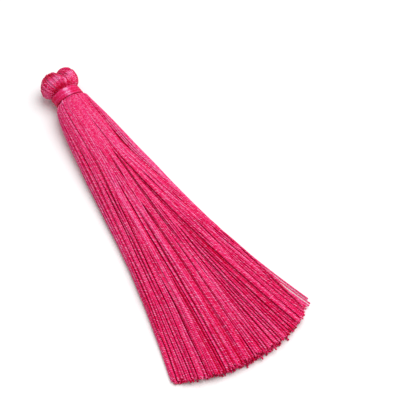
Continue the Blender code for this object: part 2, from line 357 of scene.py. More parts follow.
# Where threads lie across the skirt: place at the cut ends, place round the neck, depth under the top at the neck,
# and the distance at which the thread has come up to the top.
# Both places run from -1, the left, to 1, the right, and the one at the neck is measured round the bundle.
flowRows = (
    (-1.00, -0.98, 0.0, 10.0),
    (-0.95, -0.72, 0.0, 10.0),
    (-0.89, -0.466, 0.0, 10.0),
    (-0.76, -0.367, 0.0, 10.0),
    (-0.50, -0.222, 0.0, 10.0),
    (-0.14, -0.060, 0.0, 10.0),
    (0.10, 0.043, 0.0, 10.0),
    (0.14, 0.046, 0.6, 40.0),
    (0.27, 0.054, 0.9, 50.0),
    (0.40, 0.062, 1.1, 60.0),
    (0.54, 0.070, 0.8, 52.0),
    (0.63, 0.075, 0.5, 38.0),
    (0.65, 0.080, 0.0, 10.0),
    (0.73, 0.165, 0.0, 10.0),
    (0.90, 0.274, 0.0, 10.0),
    (0.95, 0.560, 0.0, 10.0),
    (1.00, 0.980, 0.0, 10.0),
)

# How much of the place at the neck is left at a distance below the band.
flowFade = (
    (0.0, 1.0),
    (17.0, 1.0),
    (34.0, 0.90),
    (51.0, 0.62),
    (66.0, 0.41),
    (81.0, 0.23),
    (94.0, 0.10),
    (110.0, 0.0),
    (116.0, 0.0),
)

# How far threads drift across on their way down: place at the cut ends, then the drift at each distance of
# driftAlong. Above the first distance it stays the same, and it ends at the cut ends.
driftAlong = (15.0, 30.0, 45.0, 60.0, 75.0, 90.0, 112.0)
driftRows = (
    (-1.00, 0.0, 0.0, 0.0, 0.0, 0.0, 0.0),
    (-0.92, 0.0, -0.010, -0.015, -0.012, -0.005, -0.002),
    (-0.885, -0.02, -0.02, -0.022, -0.023, -0.015, -0.010),
    (-0.80, -0.07, -0.08, -0.09, -0.088, -0.08, -0.05),
    (-0.755, -0.03, -0.045, -0.072, -0.07, -0.065, -0.03),
    (-0.725, 0.0, -0.015, -0.04, -0.045, -0.045, -0.015),
    (-0.685, 0.035, 0.035, 0.0, -0.02, -0.025, -0.012),
    (-0.58, 0.08, 0.045, 0.012, 0.02, -0.005, -0.002),
    (-0.53, 0.04, 0.0, -0.032, -0.015, -0.012, -0.004),
    (-0.45, 0.02, -0.02, -0.03, -0.03, -0.03, -0.02),
    (-0.405, 0.0, -0.037, -0.037, -0.03, -0.015, -0.01),
    (-0.385, 0.0, -0.053, -0.053, -0.038, -0.012, 0.01),
    (-0.34, 0.0, -0.02, -0.01, 0.005, 0.01, 0.01),
    (-0.235, 0.0, -0.015, -0.01, -0.005, 0.0, 0.007),
    (-0.19, 0.0, 0.0, 0.0, 0.02, 0.03, 0.025),
    (-0.175, 0.005, 0.005, -0.008, 0.025, 0.05, 0.04),
    (-0.07, 0.0, 0.0, 0.01, 0.02, 0.03, 0.005),
    (-0.045, 0.03, 0.04, 0.05, 0.06, 0.055, 0.033),
    (0.045, 0.0, 0.0, -0.015, -0.005, 0.01, 0.0),
    (0.085, 0.015, 0.015, -0.02, -0.025, -0.01, 0.0),
    (0.13, 0.0, 0.0, 0.0, 0.03, 0.04, 0.033),
    (0.215, 0.0, 0.0, 0.02, 0.01, 0.0, 0.0),
    (0.318, 0.0, 0.0, -0.01, -0.02, -0.033, -0.013),
    (0.42, -0.05, -0.05, -0.05, -0.05, -0.02, 0.0),
    (0.46, -0.065, -0.065, -0.065, -0.065, -0.01, 0.01),
    (0.58, -0.17, -0.17, -0.17, -0.12, -0.035, -0.007),
    (0.67, 0.05, 0.05, 0.05, 0.07, 0.075, 0.04),
    (0.78, -0.05, -0.05, -0.05, -0.035, -0.02, 0.005),
    (0.87, -0.08, -0.08, -0.08, -0.06, -0.03, 0.0),
    (0.93, -0.10, -0.10, -0.11, -0.095, -0.04, -0.013),
    (0.96, -0.05, -0.055, -0.04, -0.012, -0.005, 0.0),
    (1.00, 0.0, 0.0, 0.0, 0.0, 0.0, 0.0),
)

# Partings between ribbons: place at the cut ends, distance at which each opens, its width, distance at which it
# closes, and how far the ribbon on its right is sunk between its neighbours, as a share, or raised if negative.
partings = (
    (-0.92, 66.0, 0.42, 200.0, 0.3),
    (-0.885, 20.0, 0.32, 200.0, 0.0),
    (-0.80, 76.0, 0.44, 200.0, 0.2),
    (-0.755, 27.0, 0.50, 200.0, 0.8),
    (-0.725, 28.0, 0.39, 200.0, 0.0),
    (-0.685, 42.0, 0.49, 200.0, 0.1),
    (-0.645, 66.0, 0.32, 78.0, 0.0),
    (-0.615, 98.0, 0.34, 200.0, 0.0),
    (-0.58, 64.0, 0.50, 200.0, 0.8),
    (-0.53, 12.0, 0.48, 200.0, 0.0),
    (-0.515, 103.0, 0.29, 200.0, 0.0),
    (-0.45, 92.0, 0.49, 200.0, 0.1),
    (-0.405, 76.0, 0.44, 200.0, 0.7),
    (-0.385, 30.0, 0.46, 200.0, 0.0),
    (-0.34, 56.0, 0.46, 200.0, 0.2),
    (-0.305, 93.0, 0.32, 200.0, 0.0),
    (-0.28, 95.0, 0.30, 200.0, 0.0),
    (-0.235, 74.0, 0.40, 200.0, 0.1),
    (-0.19, 87.0, 0.37, 200.0, 0.8),
    (-0.175, 32.0, 0.50, 200.0, 0.0),
    (-0.07, 88.0, 0.42, 200.0, 0.7),
    (-0.045, 62.0, 0.38, 200.0, 0.0),
    (0.045, 98.0, 0.31, 200.0, 0.0),
    (0.085, 28.0, 0.58, 70.0, 0.0),
    (0.13, 84.0, 0.42, 200.0, 0.0),
    (0.215, 53.0, 0.44, 200.0, 0.2),
    (0.318, 64.0, 0.44, 200.0, 0.0),
    (0.42, 86.0, 0.44, 200.0, 0.3),
    (0.46, 60.0, 0.48, 200.0, 0.0),
    (0.505, 92.0, 0.32, 200.0, 0.3),
    (0.55, 98.0, 0.32, 200.0, 0.0),
    (0.58, 38.0, 0.58, 200.0, 0.2),
    (0.625, 62.0, 0.34, 76.0, 0.0),
    (0.67, 38.0, 0.52, 200.0, 0.5),
    (0.78, 60.0, 0.44, 200.0, 0.2),
    (0.87, 90.0, 0.37, 200.0, 0.0),
    (0.93, 55.0, 0.42, 200.0, -0.3),
    (0.96, 20.0, 0.36, 50.0, -0.6),
)

# A run is the distances below the band between which something comes or goes, and a reach is how far before and
# after a distance of its own it does so.
skirtValues = {
    "seed": 24,
    "pitch": 0.48,
    "pitchRange": (0.92, 1.06),
    "shells": 2,
    "steps": 30,
    "stepsFrom": 14.0,
    "middleEnd": 112.0,
    "leftRise": 6.2,
    "rightRise": 7.2,
    "uneven": 0.40,
    "ribbonUneven": 0.2,
    # partings, from where they open and close
    "openReach": (3.0, 9.0),
    "closeReach": (4.0, 5.0),
    "pushReach": 0.95,
    "crowdPush": 0.55,
    "pressedLeast": 0.2,
    "edgeReach": 0.50,
    "edgePower": 1.5,
    "edgeMost": 0.9,
    # ribbons: how they are layered, and the ones over the hollow or at either edge, which are deeper
    "layers": 2,
    "deepLayers": 3,
    "deepPlaces": (0.08, 0.64),
    "deepFrom": 0.90,
    "roomRun": (4.0, 106.0),
    "roomSteps": 35,
    "crown": 0.32,
    "rough": 0.04,
    "shellDepth": 0.30,
    "shellTuck": 0.9,
    "shellOpening": 0.40,
    "leastDepth": 0.02,
    "riseReach": (24.0, 6.0),
    "wave": 0.030,
    "shortWaves": (11.0, 18.0),
    "longWaves": (20.0, 45.0),
    "waveRun": (4.0, 14.0),
    "tipWander": 0.06,
    "wanderRun": (85.0, 112.0),
    "ribbonLift": 0.12,
    "liftRun": (8.0, 40.0),
    "sunkDepth": 0.12,
    "sunkReach": (4.0, 22.0),
    # shades: random tone per ribbon and thread; painted shade beside gaps, under tucked threads, in the lower
    # shell and its gaps, and on sunk ribbons; a painted highlight on the right rim
    "sunkShade": 0.3,
    "ribbonTint": 0.30,
    "threadTint": 0.30,
    "edgeShade": 0.6,
    "tuckShade": 0.25,
    "tuckMost": 0.5,
    "shellShade": 0.5,
    "gapShade": 2.3,
    "rimHighlight": 0.4,
    "highlightRimFrom": 0.96,
    "highlightRimRun": (8.0, 24.0, 44.0, 60.0),
    # the right edge, drawn in beside the lone threads
    "drawnBy": 1.95,
    "drawnFrom": 0.70,
    "drawnRun": (80.0, 106.0),
    # strays over the ribbons, whose places jump the hollow
    "strays": 18,
    "strayPlaces": (-0.93, 0.32),
    "hollowFrom": 0.03,
    "hollowWidth": 0.61,
    "strayDrift": (0.5, 2.2),
    "strayStarts": (8.0, 60.0),
    "strayReach": 55.0,
    "strayOver": (-14.0, 6.0, 40.0, 60.0),
    "strayDepth": 0.42,
    "strayRise": 0.62,
    "strayEdge": 0.985,
    "strayTint": (-0.3, 0.9),
    # the winding thread's tail
    "tailRun": (1.5, 3.9),
    "tailSteps": 7,
    "tailPlace": -0.40,
    "tailTurn": 0.02,
    "tailDepth": -0.05,
    "tailTint": 1.4,
    # lone threads at the right edge: how far each stands off at its end, and where it ends
    "loneThreads": ((-0.25, 105.5), (0.80, 103.8)),
    "lonePlace": 0.985,
    "loneRun": (62.0, 106.0),
    "loneDepth": 0.25,
    "loneFall": 0.3,
    "loneLowest": 0.22,
    "loneTint": 0.4,
}

# Distances below the band at which every thread has a point near the neck, and the grid that sections are kept on.
neckSteps = (0.6, 1.5, 2.1, 2.6, 3.1, 3.8, 4.8, 6.2, 8.0, 10.5)
sectionEnd = skirtSections[-1][0]
sectionAlong = np.linspace(0.0, sectionEnd, 229)
sectionPlace = np.linspace(-1.0, 1.0, 241)
outlineSteps = 721


def sectionTables():
    # each section's outline over the top, from the left underside to the right, with even steps round it:
    # x, z and the way into the bundle
    tables = np.zeros((4, len(sectionAlong), len(sectionPlace)))
    halfArc = np.zeros(len(sectionAlong))
    for row, along in enumerate(sectionAlong):
        half, widest, top, bottom, under, shift = (float(throughRows(skirtSections, column, along))
                                                   for column in range(1, 7))
        angle = np.radians(np.linspace(180.0 + under, -under, outlineSteps))
        x = half * np.cos(angle) + shift
        z = widest + np.where(np.sin(angle) > 0, top - widest, widest - bottom) * np.sin(angle)
        length = np.concatenate(([0.0], np.cumsum(np.hypot(np.diff(x), np.diff(z)))))
        even = (sectionPlace + 1.0) / 2.0 * length[-1]
        tables[0, row] = np.interp(even, length, x)
        tables[1, row] = np.interp(even, length, z)
        tangentX = np.gradient(tables[0, row])
        tangentZ = np.gradient(tables[1, row])
        size = np.hypot(tangentX, tangentZ)
        tables[2, row] = tangentZ / size
        tables[3, row] = -tangentX / size
        halfArc[row] = length[-1] / 2.0
    return tables, halfArc


skirtTables, skirtHalfArc = sectionTables()


def gridPlace(share, steps):
    # the step below a share of the way through a grid, and how far past it
    at = np.clip(share * (steps - 1), 0.0, steps - 1.001)
    whole = at.astype(int)
    return whole, at - whole


def onSkirt(place, along, depth):
    # a point at a place round the bundle and a depth under its outside
    row, pastRow = gridPlace(along / sectionEnd, len(sectionAlong))
    column, pastColumn = gridPlace((place + 1.0) / 2.0, len(sectionPlace))
    values = []
    for table in skirtTables:
        low = table[row, column] * (1 - pastColumn) + table[row, column + 1] * pastColumn
        high = table[row + 1, column] * (1 - pastColumn) + table[row + 1, column + 1] * pastColumn
        values.append(low * (1 - pastRow) + high * pastRow)
    x, z, inX, inZ = values
    return x + inX * depth, np.maximum(z + inZ * depth, threadValues["diameter"] / 2.0)


def halfArcAt(along):
    return np.interp(along, sectionAlong, skirtHalfArc)


def flowAt(tip, column):
    return np.interp(tip, columnOf(flowRows, 0), columnOf(flowRows, column))


def driftAt(tip, along):
    rows = [(distance, np.interp(tip, columnOf(driftRows, 0), columnOf(driftRows, column)))
            for column, distance in enumerate(driftAlong[:-1], 1)]
    return throughRows(rows + [(driftAlong[-1], 0.0)], 1, along)


def unwrapped(place, along):
    # from an even place across the skirt to the one that the threads' flow out of the neck gives
    fade = np.interp(along, columnOf(flowFade, 0), columnOf(flowFade, 1))
    return place * (1.0 - fade) + flowAt(place, 1) * fade


def placeAt(tip, along):
    return unwrapped(tip + driftAt(tip, along), along)


def drawnIn(tip, along):
    # at the right edge the ribbons end a little inside the lone threads
    values = skirtValues
    return values["drawnBy"] * (smooth(tip, values["drawnFrom"], 1.0) * smooth(along, *values["drawnRun"]))


def endOf(tip):
    rise = np.where(tip < 0.0, skirtValues["leftRise"], skirtValues["rightRise"])
    return skirtValues["middleEnd"] - rise * np.minimum(np.abs(tip), 1.0)**2


def wave(chance, along, size):
    # a thread is never quite straight: two slow waves with their own phases
    value = np.zeros_like(along)
    for length in (chance.uniform(*skirtValues["shortWaves"]), chance.uniform(*skirtValues["longWaves"])):
        value = value + size * np.sin(math.tau * (along / length + chance.random()))
    return value


partingPaths = {row[0]: placeAt(row[0], sectionAlong) * halfArcAt(sectionAlong) for row in partings}


def stepsTo(end, near=neckSteps, steps=skirtValues["steps"]):
    return np.concatenate((near, np.linspace(skirtValues["stepsFrom"], end, steps)))


def twistFrom(chance, along):
    return along + chance.uniform(*threadValues["twistStarts"])


def partedAt(offset, along, share, crowd):
    # partings push threads aside: the new offset, how tightly threads are pressed there, and how near a gap is
    values = skirtValues
    moved = offset.copy()
    pressed = np.ones_like(offset)
    edge = np.zeros_like(offset)
    beforeOpen, afterOpen = values["openReach"]
    beforeClose, afterClose = values["closeReach"]
    for tip, opens, width, closes, _ in partings:
        grown = between(along, opens - beforeOpen, opens + afterOpen, closes - beforeClose, closes + afterClose)
        away = offset - np.interp(along, sectionAlong, partingPaths[tip])
        near = np.exp(-np.abs(away) / values["pushReach"])
        push = grown * (width + crowd) * share * near / 2.0
        moved = moved + np.where(away < 0.0, -push, push)
        pressed = pressed - push / values["pushReach"]
        edge = edge + grown * width * np.exp(-(np.abs(away) / values["edgeReach"]) ** values["edgePower"])
    return moved, np.maximum(pressed, values["pressedLeast"]), np.minimum(edge, values["edgeMost"])


# Past both edges of the skirt no parting opens.
neverOpens = 300.0
noParting = (neverOpens, 0.0, 400.0, 0.0)


def ribbonThreads(chance, left, right):
    # threads side by side between two partings: where there is less room than their thickness, they tuck in
    # under each other
    values = skirtValues
    leftTip, opens, _, _, sunk = left
    rightTip, nextOpens = right[:2]
    pitch = values["pitch"] * chance.uniform(*values["pitchRange"])
    probe = np.linspace(*values["roomRun"], values["roomSteps"])
    room = (placeAt(rightTip, probe) - placeAt(leftTip, probe)) * halfArcAt(probe)
    count = max(1, int(round(float(room.max()) / pitch)))
    middle = (leftTip + rightTip) / 2.0
    low, high = values["deepPlaces"]
    deep = low <= middle <= high or abs(middle) > values["deepFrom"]
    layers = values["deepLayers"] if deep else values["layers"]
    phase = int(chance.integers(0, layers))
    lift = chance.uniform(-1.0, 1.0) * values["ribbonLift"]
    ribbonTint = chance.uniform(-1.0, 1.0) * values["ribbonTint"]
    ribbonCut = chance.uniform(-values["ribbonUneven"], values["ribbonUneven"])
    sunkFrom = max(opens, nextOpens if nextOpens < neverOpens else 0.0)
    beforeSunk, afterSunk = values["sunkReach"]
    beforeRise, afterRise = values["riseReach"]
    tipStep = (rightTip - leftTip) / count
    lines = []
    for shell in range(values["shells"]):
        for step in range(count):
            tip = leftTip + tipStep * (step + 0.5 + 0.5 * shell)
            along = stepsTo(float(endOf(tip)) + ribbonCut + chance.normal(0.0, values["uneven"]))
            arc = halfArcAt(along)
            space = (placeAt(tip + tipStep / 2.0, along) - placeAt(tip - tipStep / 2.0, along)) * arc
            crowd = values["crowdPush"] * np.maximum(pitch - space, 0.0)
            offset, pressed, edge = partedAt(placeAt(tip, along) * arc, along,
                                             1.0 if shell == 0 else values["shellOpening"], crowd)
            space = space * pressed
            tuck = np.sqrt(np.maximum(pitch * pitch - space * space, 0.0))
            layer = (step + phase) % layers
            sinks = sunk * smooth(along, sunkFrom - beforeSunk, sunkFrom + afterSunk)
            depth = threadValues["diameter"] / 2.0 + tuck * layer + values["crown"] * edge
            depth = depth + chance.normal(0.0, values["rough"])
            depth = depth + shell * (values["shellDepth"] + tuck * (layers - 1) * values["shellTuck"])
            rises = float(flowAt(tip, 3))
            depth = depth + flowAt(tip, 2) * (1.0 - smooth(along, rises - beforeRise, rises + afterRise))
            depth = depth + lift * smooth(along, *values["liftRun"]) + wave(chance, along, values["wave"])
            depth = depth + values["sunkDepth"] * sinks
            offset = offset + wave(chance, along, values["wave"]) * smooth(along, *values["waveRun"])
            offset = offset + chance.normal(0.0, values["tipWander"]) * smooth(along, *values["wanderRun"])
            x, z = onSkirt(offset / arc, along, np.maximum(depth, values["leastDepth"]))
            tint = ribbonTint + chance.normal(0.0, values["threadTint"])
            # painted shade: darker beside a gap, under tucked threads, in the lower shell and its gaps, and on
            # sunk ribbons
            tint = tint - values["edgeShade"] * edge
            tint = tint - values["tuckShade"] * np.minimum(tuck * layer, values["tuckMost"])
            tint = tint - shell * (values["shellShade"] + values["gapShade"] * edge) - values["sunkShade"] * sinks
            # painted highlight on the ribbons along the right rim
            if tip > values["highlightRimFrom"]:
                tint = tint + values["rimHighlight"] * between(along, *values["highlightRimRun"])
            lines.append((toWorld(x - drawnIn(tip, along), along, z), twistFrom(chance, along), tint))
    return lines


def skinThreads(chance):
    edges = [(-1.0, *noParting), *partings, (1.0, *noParting)]
    return [line for left, right in zip(edges, edges[1:]) for line in ribbonThreads(chance, left, right)]


def strayThreads(chance):
    # a few threads lie over the ribbons at a slight angle, but none over the hollow
    values = skirtValues
    lines = []
    for index in range(values["strays"]):
        tip = chance.uniform(*values["strayPlaces"])
        tip = tip if tip < values["hollowFrom"] else tip + values["hollowWidth"]
        along = stepsTo(float(endOf(tip)) + chance.normal(0.0, values["uneven"]))
        drift = chance.choice((-1.0, 1.0)) * chance.uniform(*values["strayDrift"])
        starts = chance.uniform(*values["strayStarts"])
        arc = halfArcAt(along)
        drift = drift * (smooth(along, starts, starts + values["strayReach"]) - 0.5)
        offset = placeAt(tip, along) * arc + drift
        over = between(along, *(starts + reach for reach in values["strayOver"]))
        depth = threadValues["diameter"] / 2.0 + values["strayDepth"] - values["strayRise"] * over
        x, z = onSkirt(np.clip(offset / arc, -values["strayEdge"], values["strayEdge"]), along, depth)
        lines.append((toWorld(x, along, z), twistFrom(chance, along), chance.uniform(*values["strayTint"])))
    return lines


def tailThread():
    values = skirtValues
    along = np.linspace(*values["tailRun"], values["tailSteps"])
    place = values["tailPlace"] + values["tailTurn"] * along
    x, z = onSkirt(place, along, np.full_like(along, values["tailDepth"]))
    return toWorld(x, along, z), along, values["tailTint"]


def loneThreads():
    values = skirtValues
    lines = []
    for past, end in values["loneThreads"]:
        along = stepsTo(end)
        off = past * smooth(along, *values["loneRun"])
        x, z = onSkirt(unwrapped(values["lonePlace"], along), along, np.full_like(along, values["loneDepth"]))
        height = np.maximum(z - off * values["loneFall"], values["loneLowest"])
        lines.append((toWorld(x + off, along, height), along, values["loneTint"]))
    return lines


# The inside of the bundle: seen at the cut ends and deep between the ribbons, and tinted darker as painted shade.
coreValues = {
    "diameter": 0.5,
    "sides": 5,
    "pitch": 0.58,
    "steps": 18,
    "levels": 9,
    "lowest": 0.22,
    "levelPitch": 0.92,
    "sectionAt": 108.0,
    "jitter": 0.12,
    "placeMost": 0.985,
    "underTop": 0.9,
    "leastRoof": 0.3,
    "cut": -0.05,
    "unevenShare": 1.2,
    "fanRun": (6.0, 100.0),
    "neckShare": 0.98,
    "neckMost": 0.93,
    "sideInset": 1.1,
    "inset": 1.0,
    "neckInset": 1.4,
    "insetRun": (10.0, 90.0),
    "leastRoom": 0.05,
    "heightJitter": 0.1,
    "sideWave": 2.0,
    # painted shade: the inner threads are darker than the outer ones
    "tint": -0.7,
    "tintSpread": 0.2,
}


def coreThreads(chance):
    values = coreValues
    size = skirtValues["wave"]
    pitch = values["pitch"]
    lines = []
    half, widest, top = (float(throughRows(skirtSections, column, values["sectionAt"])) for column in (1, 2, 3))
    for level in range(values["levels"]):
        height = values["lowest"] + level * pitch * values["levelPitch"]
        for column in range(int(2 * half / pitch)):
            across = -half + (column + 0.5 + 0.5 * (level % 2)) * pitch
            across = across + chance.uniform(-values["jitter"], values["jitter"])
            tip = across / half
            if abs(tip) > values["placeMost"]:
                continue
            roof = widest + (top - widest) * math.sqrt(1.0 - tip * tip) - values["underTop"]
            if height > roof:
                continue
            rise = height / max(roof, values["leastRoof"])
            end = float(endOf(tip)) + chance.normal(values["cut"], skirtValues["uneven"] * values["unevenShare"])
            along = stepsTo(end, neckSteps[::2], values["steps"])
            fade = smooth(along, *values["fanRun"])
            neck = np.clip(tip * values["neckShare"], -values["neckMost"], values["neckMost"])
            place = neck * (1.0 - fade) + tip * fade
            halfNow, widestNow, topNow, bottomNow = (throughRows(skirtSections, at, along) for at in range(1, 5))
            crown = np.sqrt(1.0 - place * place)
            inset = values["inset"] + values["neckInset"] * (1.0 - smooth(along, *values["insetRun"]))
            roofNow = widestNow + (topNow - widestNow) * crown - inset
            floorNow = widestNow - (widestNow - bottomNow) * crown
            z = floorNow + (np.maximum(roofNow, floorNow + values["leastRoom"]) - floorNow) * rise
            z = z + wave(chance, along, size)
            z = z + chance.uniform(-values["heightJitter"], values["heightJitter"]) * fade
            x = place * (halfNow - values["sideInset"]) + throughRows(skirtSections, 6, along)
            x = x + wave(chance, along, size * values["sideWave"]) - drawnIn(tip, along)
            z = np.maximum(z, threadValues["diameter"] / 2.0)
            # tinted darker by painted shade, with a random spread
            lines.append((toWorld(x, along, z), twistFrom(chance, along),
                          chance.normal(values["tint"], values["tintSpread"])))
    return lines


chance = np.random.default_rng(skirtValues["seed"])
skin = skinThreads(chance) + strayThreads(chance) + [tailThread()] + loneThreads()
skirtSkin = makeThreads("skirtThreads", skin, skirtMaterial)
skirtCore = makeThreads("skirtInnerThreads", coreThreads(chance), skirtMaterial,
                        coreValues["diameter"], coreValues["sides"])


# Head: the fold of the hank. Rows: distance above the band's middle, share of the full bulge, depth of the cleft.
headRows = (
    (1.4, 0.56, 0.0),
    (2.1, 0.60, 0.0),
    (3.0, 0.78, 0.0),
    (4.0, 0.91, 0.10),
    (5.2, 0.98, 0.30),
    (6.4, 1.00, 0.55),
    (7.6, 0.98, 0.80),
    (9.0, 0.90, 1.00),
    (10.3, 0.76, 1.00),
    (11.2, 0.58, 1.00),
    (11.4, 0.40, 0.90),
    (10.7, 0.20, 0.50),
    (9.8, 0.10, 0.30),
)

headValues = {
    "seed": 7,
    "halfWidth": 6.9,
    "halfUp": 5.5,
    "halfDown": 5.4,
    "tilt": 0.20,
    "shift": 0.55,
    "bulgeRun": (1.9, 6.4),
    # the neck inside the band
    "neckRadius": 3.55,
    "neckWider": 0.3,
    "neckRun": (1.9, 3.2),
    # the cleft in front, with a crease in it and a saddle round it, and the shallower one behind
    "cleftAngle": 73.0,
    "cleftSpread": 15.0,
    "cleftDepth": 0.14,
    "cleftDrop": 1.0,
    "creaseSpread": 7.0,
    "creaseDepth": 0.12,
    "saddleSpread": 45.0,
    "saddleDrop": 1.9,
    "backCleft": 0.6,
    # locks of thread round the head
    "lockSeed": 5,
    "locks": 22,
    "lockSizes": (0.6, 1.4),
    "lockDepth": 0.16,
    "lockRun": (0.08, 0.3),
    "foldDepth": 0.28,
    "foldRun": (0.3, 0.45),
    # where the left lobe is drawn in
    "drawAngle": 205.0,
    "drawSpread": 42.0,
    "drawPlace": 4.2,
    "drawReach": 1.9,
    "drawDepth": 0.9,
    "dimpleRun": (0.45, 0.9),
    # threads
    "thread": 0.40,
    "threads": 116,
    "steps": 40,
    "length": 21.0,
    "swirl": 0.30,
    "spacing": 0.25,
    "sway": 0.03,
    "ripple": 0.05,
    "ripples": (1.0, 3.0),
    "ripplePhase": 6.0,
    "threadTint": 0.35,
    "leastHeight": 0.01,
    # strays over the others
    "strays": 36,
    "strayFrom": 0.02,
    "strayEnds": (0.8, 1.0),
    "strayLean": 0.1,
    "straySway": 0.25,
    "strayRun": (0.05, 0.9),
    "strayInset": 0.02,
    "strayDip": 0.2,
    "strayTint": 0.1,
}

# Painted highlights where the head's threads catch the light, and painted shade where they lie in a fold: angle
# round the head in degrees, share of the way from the band to the dimple, how far each reaches, and how much
# lighter it is, or darker if negative. The dark spots also set how deep the folds are.
headSheen = (
    (112.0, 0.42, 34.0, 0.07, 1.7),
    (78.0, 0.33, 6.0, 0.12, 1.2),
    (50.0, 0.40, 15.0, 0.10, 1.7),
    (168.0, 0.30, 24.0, 0.12, 0.5),
    (95.0, 0.72, 9.0, 0.05, 1.0),
    (260.0, 0.42, 60.0, 0.12, 0.5),
    (100.0, 0.19, 36.0, 0.07, -2.0),
    (126.0, 0.59, 32.0, 0.05, -1.8),
    (34.0, 0.50, 16.0, 0.04, -1.4),
    (57.0, 0.20, 10.0, 0.06, -1.2),
    (86.0, 0.45, 5.0, 0.20, -0.5),
)


def cleftAt(angle, spread):
    front = headValues["cleftAngle"]
    groove = np.zeros_like(angle)
    for centre, weight in ((front, 1.0), (front + 180.0, headValues["backCleft"])):
        groove = groove + weight * np.exp(-(degreesFrom(angle, centre) / spread) ** 2)
    return groove


lockChance = np.random.default_rng(headValues["lockSeed"])
lockPlaces = np.cumsum(lockChance.uniform(*headValues["lockSizes"], headValues["locks"]))
lockPlaces = lockPlaces / lockPlaces[-1] * math.tau


def lockRelief(angle, share):
    # locks of thread stand up a little from the grooves between them
    around = (angle - headValues["swirl"] * share) % math.tau
    edges = np.concatenate(([lockPlaces[-1] - math.tau], lockPlaces))
    index = np.clip(np.searchsorted(edges, around) - 1, 0, len(edges) - 2)
    middle = (edges[index] + edges[index + 1]) / 2.0
    half = (edges[index + 1] - edges[index]) / 2.0
    away = np.clip(np.abs(around - middle) / half, 0.0, 1.0)
    return headValues["lockDepth"] * away**3 * smooth(share, *headValues["lockRun"])


def headTint(angle, share):
    # how much painted highlight or painted shade each point gets, and how deep in a fold it lies
    tint = np.zeros_like(share)
    fold = np.zeros_like(share)
    for centre, place, reach, depth, amount in headSheen:
        spot = np.exp(-(degreesFrom(angle, centre) / reach) ** 2 - ((share - place) / depth) ** 2)
        tint = tint + amount * spot
        fold = fold + np.where(amount < 0.0, spot, 0.0) * smooth(share, *headValues["foldRun"])
    return tint, fold


def onHead(angle, share, inset):
    # share runs from 0 at the band to 1 in the dimple
    values = headValues
    rows = [(index,) + row for index, row in enumerate(headRows)]
    at = share * (len(rows) - 1)
    along, bulge, cleft = (throughRows(rows, column, at) for column in (1, 2, 3))
    narrow = cleftAt(angle, values["cleftSpread"]) * cleft
    crease = cleftAt(angle, values["creaseSpread"]) * cleft
    saddle = cleftAt(angle, values["saddleSpread"]) * cleft
    halfDepth = np.where(np.sin(angle) > 0.0, values["halfUp"], values["halfDown"])
    radius = 1.0 / np.hypot(np.cos(angle) / values["halfWidth"], np.sin(angle) / halfDepth)
    radius = radius * bulge * (1.0 - values["cleftDepth"] * narrow - values["creaseDepth"] * crease)
    inside = 1.0 - smooth(along, *values["neckRun"])
    neck = values["neckRadius"] + values["neckWider"] * np.abs(np.cos(angle))
    radius = radius * (1.0 - inside) + neck * inside - inset - lockRelief(angle, share)
    radius = radius - values["foldDepth"] * headTint(angle, share)[1]
    # the left lobe is drawn in where it meets the band
    around = degreesFrom(angle, values["drawAngle"]) / values["drawSpread"]
    above = (along - values["drawPlace"]) / values["drawReach"]
    radius = radius - values["drawDepth"] * np.exp(-around ** 2 - above ** 2)
    reach = smooth(along, *values["bulgeRun"])
    across = radius * np.cos(angle)
    lowest = values["thread"] / 2.0 + values["leastHeight"]
    height = np.maximum(axisHeight + radius * np.sin(angle), lowest)
    y = along + values["tilt"] * across * reach - values["cleftDrop"] * narrow - values["saddleDrop"] * saddle
    y = y - inset * smooth(share, *values["dimpleRun"])
    return toWorld(across + values["shift"] * reach, -y, height)


def headThreads(chance):
    values = headValues
    lines = []
    for index in range(values["threads"]):
        share = np.linspace(0.0, 1.0, values["steps"])
        angle = math.tau * (index + chance.uniform(-values["spacing"], values["spacing"])) / values["threads"]
        path = angle + chance.normal(0.0, values["sway"]) * np.sin(share * math.pi) + values["swirl"] * share
        turns = share * math.pi * chance.uniform(*values["ripples"])
        ripple = values["ripple"] * np.sin(turns + chance.uniform(0.0, values["ripplePhase"]))
        points = onHead(path, share, values["thread"] / 2.0 + ripple)
        # painted highlights and painted shade from headSheen, plus each thread's random tone
        tint = headTint(path, share)[0] + chance.normal(0.0, values["threadTint"])
        lines.append((points, twistFrom(chance, share * values["length"]), tint))
    for index in range(values["strays"]):
        share = np.linspace(values["strayFrom"], chance.uniform(*values["strayEnds"]), values["steps"])
        angle = chance.uniform(0.0, math.tau)
        lean = chance.normal(values["strayLean"], values["straySway"]) * smooth(share, *values["strayRun"])
        path = angle + lean + values["swirl"] * share
        dip = values["strayDip"] * (1.0 - np.sin(share * math.pi))
        points = onHead(path, share, values["strayInset"] + dip)
        # painted highlights and painted shade, as for the threads above, plus random tone
        tint = headTint(path, share)[0] + chance.normal(values["strayTint"], values["threadTint"])
        lines.append((points, twistFrom(chance, share * values["length"]), tint))
    return lines


head = makeThreads("headThreads", headThreads(np.random.default_rng(headValues["seed"])), headMaterial,
                   headValues["thread"])

# The threads under the head's outer ones, as one closed form.
formValues = {
    "sides": 60,
    "rings": 30,
    "inset": 0.42,
    # painted shade: the form is darker than the threads over it and shows as shadow between them
    "tint": -0.8,
}


